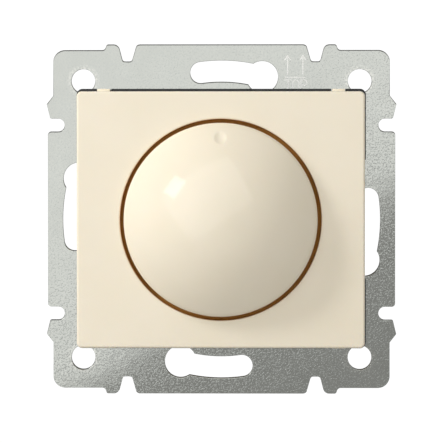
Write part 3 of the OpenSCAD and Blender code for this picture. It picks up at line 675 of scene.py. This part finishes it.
def screw_slot():
    """The curved slot for a wall box screw at the top, with a keyhole at its right end."""
    start = 90 + SLOT_START
    end = 90 - KEYHOLE_ANGLE
    outer = SLOT_R + SLOT_HALF
    inner = SLOT_R - SLOT_HALF

    def neck(r):
        """Angle at the frame's centre between the keyhole and where its circle cuts radius r."""
        cosine = (r ** 2 + SLOT_R ** 2 - KEYHOLE_R ** 2) / (2 * r * SLOT_R)
        return math.degrees(math.acos(cosine))

    key = along(SLOT_R, end)
    cap = along(SLOT_R, start)
    leave = bearing(along(outer, end + neck(outer)), key)
    arrive = bearing(along(inner, end + neck(inner)), key)
    if arrive > leave:
        arrive -= 360
    points = arc(0, 0, outer, start, end + neck(outer))
    points += arc(*key, KEYHOLE_R, leave, arrive)
    points += arc(0, 0, inner, end + neck(inner), start)
    points += arc(*cap, SLOT_HALF, start + 180, start)
    return tidy_loop(points)


def box_outline(half, r):
    """A square with its corners cut round to a circle."""
    edge = math.degrees(math.acos(half / r))
    points = []
    for turn in range(4):
        points += turned(arc(0, 0, r, edge, 90 - edge), 90 * turn)
    return points


def support_frame(materials):
    """Stamped steel frame: outline with lobes and hooks, screw slots, holes and four lugs."""
    loops = [frame_outline()]
    loops += [turned(screw_slot(), 90 * turn) for turn in range(4)]
    for sx in (-1, 1):
        for sz in (-1, 1):
            loops.append(circle(CORNER_HOLE_R, 84, sx * CORNER_HOLE_AT, sz * CORNER_HOLE_AT))
    loops.append(box_outline(CUT_OUT_HALF, CUT_OUT_R))
    bm = bmesh.new()
    add_plate(bm, loops, 0, FRAME_T, round_high=0.26, wall=1, rest=0.15)
    lug = [rectangle(*LUG), rectangle(*LUG_WINDOW)]
    for turn in range(4):
        spin = Matrix.Rotation(math.radians(90 * turn), 3, "Y")
        across = (CUT_OUT_HALF, CUT_OUT_HALF + FRAME_T)
        add_plate(bm, lug, *across, place=lambda z, h, x: spin @ point(x, z, h), wall=1)
    finishes = [materials["zinc_steel"], zinc_cut()]
    return new_piece("support_frame_pressing", bm, "dimmer", "support_frame", finishes)


MARK_HALF = 0.11  # half the width of every line
MARK_PROUD = 0.004
MARK_SUNK = 0.02
ARROWS_AT = (13.4, 16.5)
ARROW_LOW, ARROW_TOP = 29.3, 33.1
ARROW_NECK = 0.22  # from the tip down to the shaft
BARB_HALF, BARB_DROP = 0.6, 0.9
BAR_HALF, BAR_DROP = 2.05, 0.6
# The word: its three letters from left to right
WORD_LOW, WORD_TOP = 26.0, 28.2
T_AT, T_HALF = 13.5, 0.7
O_AT, O_R = 15.05, 0.62
P_AT, P_JOIN = 16.1, 16.15
BOWL_AT, BOWL_R = 16.75, 0.55


def band(stroke):
    """Outline of a line of the marks' width along a stroke."""
    sides = ([], [])
    for i, p in enumerate(stroke):
        here = Vector(p)
        steps_in = [here - Vector(q) for q in stroke[max(0, i - 1):i]]
        steps_out = [Vector(q) - here for q in stroke[i + 1:i + 2]]
        directions = [step.normalized() for step in steps_in + steps_out]
        ahead = sum(directions, Vector((0, 0))).normalized()
        across = Vector((-ahead.y, ahead.x)) * MARK_HALF / max(0.4, ahead.dot(directions[0]))
        sides[0].append(tuple(here + across))
        sides[1].append(tuple(here - across))
    return sides[0] + sides[1][::-1]


def word_top():
    """Outlines of the word below the arrows, whose lower half the cover hides."""
    middle = (WORD_LOW + WORD_TOP) / 2
    t_stem = band([(T_AT, WORD_TOP - MARK_HALF), (T_AT, WORD_LOW)])
    t_bar = band([(T_AT - T_HALF, WORD_TOP), (T_AT + T_HALF, WORD_TOP)])
    o_shape = arc(O_AT, WORD_TOP - O_R, O_R, 0, 180)
    o_shape += arc(O_AT, WORD_LOW + O_R, O_R, 180, 360)
    o_sides = [inset_loop(o_shape, -MARK_HALF), inset_loop(o_shape, MARK_HALF)]
    bowl = arc(BOWL_AT, (WORD_TOP + middle) / 2, BOWL_R, 90, -90)
    p_shape = band([(P_AT, WORD_LOW), (P_AT, WORD_TOP)] + bowl + [(P_JOIN + MARK_HALF, middle)])
    return [[t_stem], [t_bar], o_sides, [p_shape]]


def up_marks():
    """Two arrows over a bar and the word, etched beside the top slot to show which way is up."""
    middle = sum(ARROWS_AT) / 2
    bar_z = ARROW_LOW - BAR_DROP
    barb_z = ARROW_TOP - BARB_DROP
    marks = [[band([(middle - BAR_HALF, bar_z), (middle + BAR_HALF, bar_z)])]]
    for x in ARROWS_AT:
        marks.append([band([(x, ARROW_LOW), (x, ARROW_TOP - ARROW_NECK)])])
        marks.append([band([(x - BARB_HALF, barb_z), (x, ARROW_TOP), (x + BARB_HALF, barb_z)])])
    depth = (FRAME_T - MARK_SUNK, FRAME_T + MARK_PROUD)
    bm = bmesh.new()
    for outlines in marks + word_top():
        add_plate(bm, outlines, *depth, round_low=0.005, round_high=0.002)
    finish = [etched_mark()]
    return new_piece("up_marks", bm, "dimmer", materials=finish, sharp=1)


# ---------------------------------------------------------------- cover

COVER_WALL = 1.3
COVER_T = 1.6
COVER_RIM = 4.5
COVER_HALF_H = 25.7
COVER_CORNER = 1.0
COVER_ROUND = 0.4
WELL_R = 20.18
LIP_ROUND = 0.3
WELL_FLOOR = (4.4, 5.6)
WELL_FILLET = 0.3
WELL_HOLE_R = 8.6
HOLE_CHAMFER = 0.15
HOOP_POINTS = 288
# Clip legs: middle and half width, how far the upper and lower ones reach, where a leg starts,
# its back and front, the hook's back and front, the leg's thickness and the hook's length
CLIP_X = 23.65
CLIP_HALF = 1.3
CLIP_TOP = 26.27
CLIP_BOTTOM = 25.95
CLIP_ROOT = 24.3
CLIP_LEG_H = (4.5, 5.4)
CLIP_HOOK_H = (1.6, 2.3)
CLIP_T = 1.2
CLIP_HOOK_LENGTH = 1.95


def add_clip_leg(bm, side, reach, up):
    """Hooked leg at the cover's top or bottom edge, which snaps under the front frame."""
    leg_back, leg_front = CLIP_LEG_H
    hook_back, hook_front = CLIP_HOOK_H
    inner = reach - CLIP_T
    tip = reach - CLIP_HOOK_LENGTH
    hook = [(leg_front, CLIP_ROOT), (leg_front, reach), (hook_back, reach), (hook_back, tip)]
    hook += [(hook_front, tip), (hook_front, inner), (leg_back, inner), (leg_back, CLIP_ROOT)]
    low, high = side * CLIP_X - CLIP_HALF, side * CLIP_X + CLIP_HALF
    add_plate(bm, [hook], low, high, place=lambda h, z, x: point(x, up * z, h), round_low=0.1)


def cover(materials):
    """Square cover with a soft front edge, a round well for the knob and four clip legs."""
    low, high = box_mm("cover")
    front = -low.y
    half_w = high.x
    inside = front - COVER_T
    bm = bmesh.new()

    def square(inset, h):
        corner = max(COVER_CORNER - inset, 0.3)
        return ring(bm, rounded_rect(half_w - inset, COVER_HALF_H - inset, corner), h)

    def hoop(r, h):
        return ring(bm, circle(r, HOOP_POINTS), h)

    skirt = [square(COVER_WALL, inside), square(COVER_WALL, COVER_RIM + 0.1)]
    skirt += [square(COVER_WALL - 0.1, COVER_RIM), square(0.12, COVER_RIM), square(0, COVER_RIM + 0.12)]
    skirt += [square(inset, front - drop) for inset, drop in quarter_round(COVER_ROUND, 6)]
    join_rings(bm, skirt)
    lip = [hoop(WELL_R + inset, front - drop) for inset, drop in quarter_round(LIP_ROUND, 5)]
    join_rings(bm, lip)
    fill_flat(bm, skirt[-1], lip[-1])
    floor_back, floor_front = WELL_FLOOR
    outer_r = WELL_R + COVER_WALL
    chamfer_r = WELL_HOLE_R + HOLE_CHAMFER
    well = [lip[0], hoop(WELL_R, floor_front + WELL_FILLET)]
    well += [hoop(WELL_R - 0.3 * WELL_FILLET, floor_front + 0.3 * WELL_FILLET)]
    well += [hoop(WELL_R - WELL_FILLET, floor_front), hoop(chamfer_r, floor_front)]
    well += [hoop(WELL_HOLE_R, floor_front - HOLE_CHAMFER), hoop(WELL_HOLE_R, floor_back + HOLE_CHAMFER)]
    well += [hoop(chamfer_r, floor_back), hoop(outer_r - 0.2, floor_back)]
    well += [hoop(outer_r, floor_back + 0.2), hoop(outer_r, inside)]
    # The well's walls, floor and hole take material 1, the ivory with painted shade.
    join_rings(bm, well, 1)
    fill_flat(bm, skirt[0], well[-1])
    for side in (-1, 1):
        add_clip_leg(bm, side, CLIP_TOP, 1)
        add_clip_leg(bm, side, CLIP_BOTTOM, -1)
    # The second finish is the ivory with painted shade, for the well.
    finishes = [materials["ivory_plastic"], materials["ivory_depth"]]
    return new_piece("cover_moulding", bm, "dimmer", "cover", finishes)


# ---------------------------------------------------------------- knob

DOME_R = 31.1
KNOB_R = box_mm("knob")[1].x
KNOB_CROWN = -box_mm("knob")[0].y
KNOB_BACK = -box_mm("knob")[1].y
DOME_CENTRE = KNOB_CROWN - DOME_R
RIM_R = 1.8
KNOB_WALL = 1.7
HUB_R = 4.4
HUB_BACK = 8.9
HUB_TOP = 14.9
BORE_R = 2.02
BORE_KEY = (2.5, 1.5)  # how far out the bore's flat side is, and half its width
# Ribs: from the hub to the skirt, the height of their end there, where the dome's curve begins,
# and half the thickness
RIB_HUB_R = 4.2
RIB_SKIRT_R = 18.2
RIB_SKIRT_TOP = 10.4
RIB_DOME_R = 16.9
RIB_HALF = 0.5
DIMPLE_AT = 16.4
DIMPLE_HALF = (1.2, 1.5)
DIMPLE_DEPTH = 0.27
DIMPLE_REACH = 3
DIMPLE_SOFTNESS = 0.03
DIMPLE_LEAST = 0.004
# Where the mesh is finer because of the dimple: beyond this radius, and between these angles
FINE_R = 14.4
FINE_ANGLES = (82, 98)
CROWN_R = 0.25
# Height on the skirt below which the knob has the ivory with painted shade.
SKIRT_SHADE_TOP = 8.9


def dome_height(r, radius=DOME_R):
    return DOME_CENTRE + math.sqrt(radius ** 2 - r ** 2)


def steps(start, end, step):
    count = max(1, round(abs(end - start) / step))
    return [start + (end - start) * i / count for i in range(count + 1)]


def knob_angles():
    """Angles round the knob, closer together where the dimple is."""
    start, end = FINE_ANGLES
    fine = steps(start, end, 0.35)
    coarse = steps(end, start + 360, 1.5)[1:-1]
    return [math.radians(a) for a in fine + coarse]


def press_dimple(vert):
    """Sinks a vertex of the dome into the dimple that marks the knob's position."""
    x, z = vert.co.x / MM, vert.co.z / MM
    r = math.hypot(x, z)
    if z < 0 or not DIMPLE_AT - DIMPLE_REACH < r < DIMPLE_AT + DIMPLE_REACH:
        return
    along_rim = r * (math.atan2(z, x) - math.pi / 2)
    outward = DOME_R * (math.asin(min(1, r / DOME_R)) - math.asin(DIMPLE_AT / DOME_R))
    inside = 1 - (along_rim / DIMPLE_HALF[0]) ** 2 - (outward / DIMPLE_HALF[1]) ** 2
    depth = DIMPLE_DEPTH * 0.5 * (inside + math.sqrt(inside ** 2 + DIMPLE_SOFTNESS))
    if depth < DIMPLE_LEAST:
        return
    normal = Vector((x, 0, z)) / DOME_R
    normal.y = -math.sqrt(max(0, 1 - (r / DOME_R) ** 2))
    vert.co -= normal * depth * MM


def add_rib(bm, turn):
    """Stiffening rib between the hub and the skirt, under the dome."""
    low = HUB_BACK + 1
    top = [(r, dome_height(r, DOME_R - KNOB_WALL / 2)) for r in steps(RIB_DOME_R, RIB_HUB_R, 1.2)]
    outline = [(RIB_HUB_R, low), (RIB_SKIRT_R, low), (RIB_SKIRT_R, RIB_SKIRT_TOP)] + top
    spin = Matrix.Rotation(math.radians(turn), 3, "Y")
    across = (-RIB_HALF, RIB_HALF)
    add_plate(bm, [outline], *across, place=lambda r, h, w: spin @ point(r, w, h), round_low=0.1)


def add_hub(bm):
    """Hub under the dome, with the D-shaped bore."""
    key_x, key_half = BORE_KEY
    half = math.degrees(math.atan2(key_half, math.sqrt(BORE_R ** 2 - key_half ** 2)))
    bore = [(key_x, -key_half), (key_x, key_half)] + arc(0, 0, BORE_R, half, 360 - half)
    rim = circle(HUB_R, 72)
    outside = [ring(bm, inset_loop(rim, 0.15), HUB_BACK), ring(bm, rim, HUB_BACK + 0.15)]
    outside.append(ring(bm, rim, HUB_TOP + 1.4))
    inside = [ring(bm, bore, HUB_BACK), ring(bm, bore, HUB_TOP)]
    join_rings(bm, outside)
    join_rings(bm, inside)
    fill_flat(bm, outside[0], inside[0])
    bm.faces.new(outside[-1])
    bm.faces.new(inside[-1])


def knob(materials):
    """Domed knob, pressed in at its dimple, hollow behind with a hub and six ribs."""
    bm = bmesh.new()
    centre_r = KNOB_R - RIM_R
    centre_h = DOME_CENTRE + math.sqrt((DOME_R - RIM_R) ** 2 - centre_r ** 2)
    tangent_r = centre_r * DOME_R / (DOME_R - RIM_R)
    lean = math.degrees(math.acos((tangent_r - centre_r) / RIM_R))
    inner_r = KNOB_R - KNOB_WALL
    radii = steps(CROWN_R, FINE_R, 0.5) + steps(FINE_R, tangent_r, 0.14)[1:]
    outer = [(r, dome_height(r)) for r in radii]
    outer += arc(centre_r, centre_h, RIM_R, lean, 0, step=0.12)[1:]
    outer.append((KNOB_R, SKIRT_SHADE_TOP))
    skirt = [(KNOB_R, SKIRT_SHADE_TOP), (KNOB_R, KNOB_BACK + 0.15), (KNOB_R - 0.05, KNOB_BACK + 0.05)]
    skirt += [(KNOB_R - 0.15, KNOB_BACK), (inner_r + 0.1, KNOB_BACK)]
    skirt += [(inner_r, KNOB_BACK + 0.1), (inner_r, centre_h)]
    skirt += [(r, dome_height(r, DOME_R - KNOB_WALL)) for r in steps(17.6, CROWN_R, 0.8)]
    angles = knob_angles()
    shell = lathe(bm, outer, angles)
    # The skirt below SKIRT_SHADE_TOP and the knob's inside take material 1, the ivory with painted
    # shade.
    hidden = lathe(bm, skirt[1:], angles, 1)
    bridge(bm, shell[-1], hidden[0], 1)
    bm.faces.new(shell[0])
    bm.faces.new(hidden[-1])
    for loop in shell:
        for vert in loop:
            press_dimple(vert)
    for turn in range(6):
        add_rib(bm, 60 * turn + 30)
    add_hub(bm)
    # The second finish is the ivory with painted shade, for the skirt and inside.
    finishes = [materials["ivory_plastic"], materials["ivory_depth"]]
    return new_piece("knob_moulding", bm, "knob", "knob", finishes)


# ---------------------------------------------------------------- putting it together

REPLACED = ("support_frame", "cover", "knob")


make_camera()
make_lamps()
make_sky()
make_floor()
bpy.context.scene.view_settings.view_transform = "Standard"

materials = make_materials()
# The copy of the ivory plastic with painted shade, for the groove.
materials["ivory_depth"] = ivory_depth()
support_frame(materials)
up_marks()
cover(materials)
knob(materials)
for entry in frame["record"]["subparts"]:
    if entry["node"] not in REPLACED:
        dress_cad(entry["node"], materials[entry["material_slot"]])
